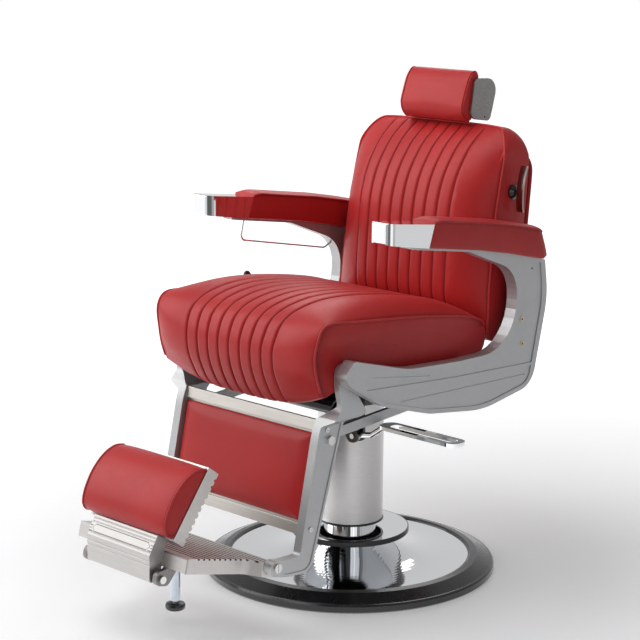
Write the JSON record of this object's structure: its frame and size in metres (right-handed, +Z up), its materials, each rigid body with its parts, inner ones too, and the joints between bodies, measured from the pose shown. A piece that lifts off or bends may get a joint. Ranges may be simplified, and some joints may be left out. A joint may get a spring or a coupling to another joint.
{
  "type": "hydraulic barber chair",
  "caption": "Padded barber chair on a round pump column: lifts, turns and reclines with a linked leg rest, flip-over footrest and sliding, tilting headrest.",
  "frame": {"origin": "on the floor, at the centre of the round base, under the column", "axes": "+Z up along the column, the sitter looks along -Y, the sitter's left hand is at +X"},
  "size_m": [0.7789, 1.067, 1.148],
  "materials": {
    "cast_iron_black": "painted, semi-matt",
    "rubber_black": "satin",
    "chrome": "mirror",
    "ground_steel": "satin",
    "bronze": "oiled",
    "satin_steel": "fine brushed",
    "black_metal": "gloss",
    "silver_casting": "satin silver",
    "zinc_tube": "zinc plated",
    "brushed_aluminium": "brushed",
    "plywood": "plain",
    "red_leather": "smooth, soft sheen"
  },
  "bodies": {
    "base": {"base_plate": "cast_iron_black", "base_ring": "rubber_black", "base_dome": "chrome", "base_disc": "chrome", "disc_band": "rubber_black", "pump_cylinder": "chrome"},
    "ram": {"ram_piston": "ground_steel", "thrust_ring": "bronze"},
    "chair": {"seat_carrier": "black_metal", "column_cover": "satin_steel", "cover_ring": "rubber_black", "seat_pan": "black_metal", "seat_cushion": "red_leather", "side_frame_left": "silver_casting", "side_frame_right": "silver_casting", "arm_pad_left": "red_leather", "arm_pad_right": "red_leather", "arm_cap_left": "chrome", "arm_cap_right": "chrome", "towel_bar": "chrome", "frame_screws": "ground_steel", "leg_pivot_pins": "ground_steel", "back_pivot_pins": "ground_steel", "lever_bracket": "black_metal", "recline_boss": "ground_steel"},
    "pump_lever_arm": {"pump_lever": "chrome"},
    "recline_lever_arm": {"recline_lever": "black_metal"},
    "leg_rest": {"leg_frame_left": "silver_casting", "leg_frame_right": "silver_casting", "calf_panel": "satin_steel", "calf_board": "red_leather", "calf_strip_top": "satin_steel", "calf_strip_bottom": "satin_steel", "footboard": "brushed_aluminium", "foot_bolts": "ground_steel", "leg_screws": "ground_steel", "link_bolts": "ground_steel", "support_tube": "zinc_tube", "flip_ears": "brushed_aluminium"},
    "support_foot": {"foot_screw": "ground_steel", "foot_disc": "rubber_black"},
    "flip_rest": {"flip_plate": "brushed_aluminium", "nose_block": "brushed_aluminium", "foot_pad": "red_leather", "flip_pin": "ground_steel"},
    "links": {"link_bar_left": "silver_casting", "link_bar_right": "silver_casting"},
    "backrest": {"back_frame": "black_metal", "back_board": "plywood", "back_cushion": "red_leather", "back_cover": "red_leather", "headrest_socket": "black_metal", "lock_rosette": "black_metal"},
    "lock_lever_arm": {"lock_lever": "chrome"},
    "head_post": {"headrest_post": "chrome"},
    "headrest": {"headrest_housing": "black_metal", "headrest_pad": "red_leather", "headrest_plates": "satin_steel"}
  },
  "joints": [
    {"name": "column_lift", "type": "slide", "parent": "base", "child": "ram", "axis": [0, 0, 1], "range_m": [0, 0.16]},
    {"name": "seat_swivel", "type": "hinge", "parent": "ram", "child": "chair", "pos_m": [0, 0, 0.41], "axis": [0, 0, 1], "continuous": true},
    {"name": "back_recline", "type": "hinge", "parent": "chair", "child": "backrest", "pos_m": [0, 0.256, 0.597], "axis": [-1, 0, 0], "range_deg": [0, 45]},
    {"name": "leg_raise", "type": "hinge", "parent": "chair", "child": "leg_rest", "pos_m": [0, -0.291, 0.551], "axis": [-1, 0, 0], "range_deg": [0, 45]},
    {"name": "link_swing", "type": "hinge", "parent": "leg_rest", "child": "links", "pos_m": [0, -0.301, 0.403], "axis": [-1, 0, 0], "range_deg": [-45, 0]},
    {"name": "footrest_flip", "type": "hinge", "parent": "leg_rest", "child": "flip_rest", "pos_m": [0, -0.68, 0.158], "axis": [1, 0, 0], "range_deg": [0, 114]},
    {"name": "foot_height", "type": "slide", "parent": "leg_rest", "child": "support_foot", "axis": [0, 0, 1], "range_m": [-0.024, 0]},
    {"name": "pump_press", "type": "hinge", "parent": "chair", "child": "pump_lever_arm", "pos_m": [0.132, -0.119, 0.361], "axis": [0, 1, 0], "range_deg": [0, 18], "stiffness_Nm_per_rad": 12, "springref_deg": -28.65},
    {"name": "recline_release", "type": "hinge", "parent": "chair", "child": "recline_lever_arm", "pos_m": [-0.3, 0.062, 0.466], "axis": [-1, 0, 0], "range_deg": [0, 20], "stiffness_Nm_per_rad": 4, "springref_deg": -22.92},
    {"name": "headrest_height", "type": "slide", "parent": "backrest", "child": "head_post", "axis": [0, 0.1149, 0.9934], "range_m": [0, 0.12]},
    {"name": "headrest_tilt", "type": "hinge", "parent": "head_post", "child": "headrest", "pos_m": [0, 0.322, 1.082], "axis": [-1, 0, 0], "range_deg": [0, 32]},
    {"name": "headrest_lock", "type": "hinge", "parent": "backrest", "child": "lock_lever_arm", "pos_m": [0.236, 0.287, 0.881], "axis": [-1, 0, 0], "range_deg": [0, 60]}
  ],
  "couplings": [
    {"joint": "leg_raise", "follows": "back_recline", "ratio": 1},
    {"joint": "link_swing", "follows": "back_recline", "ratio": -1}
  ]
}
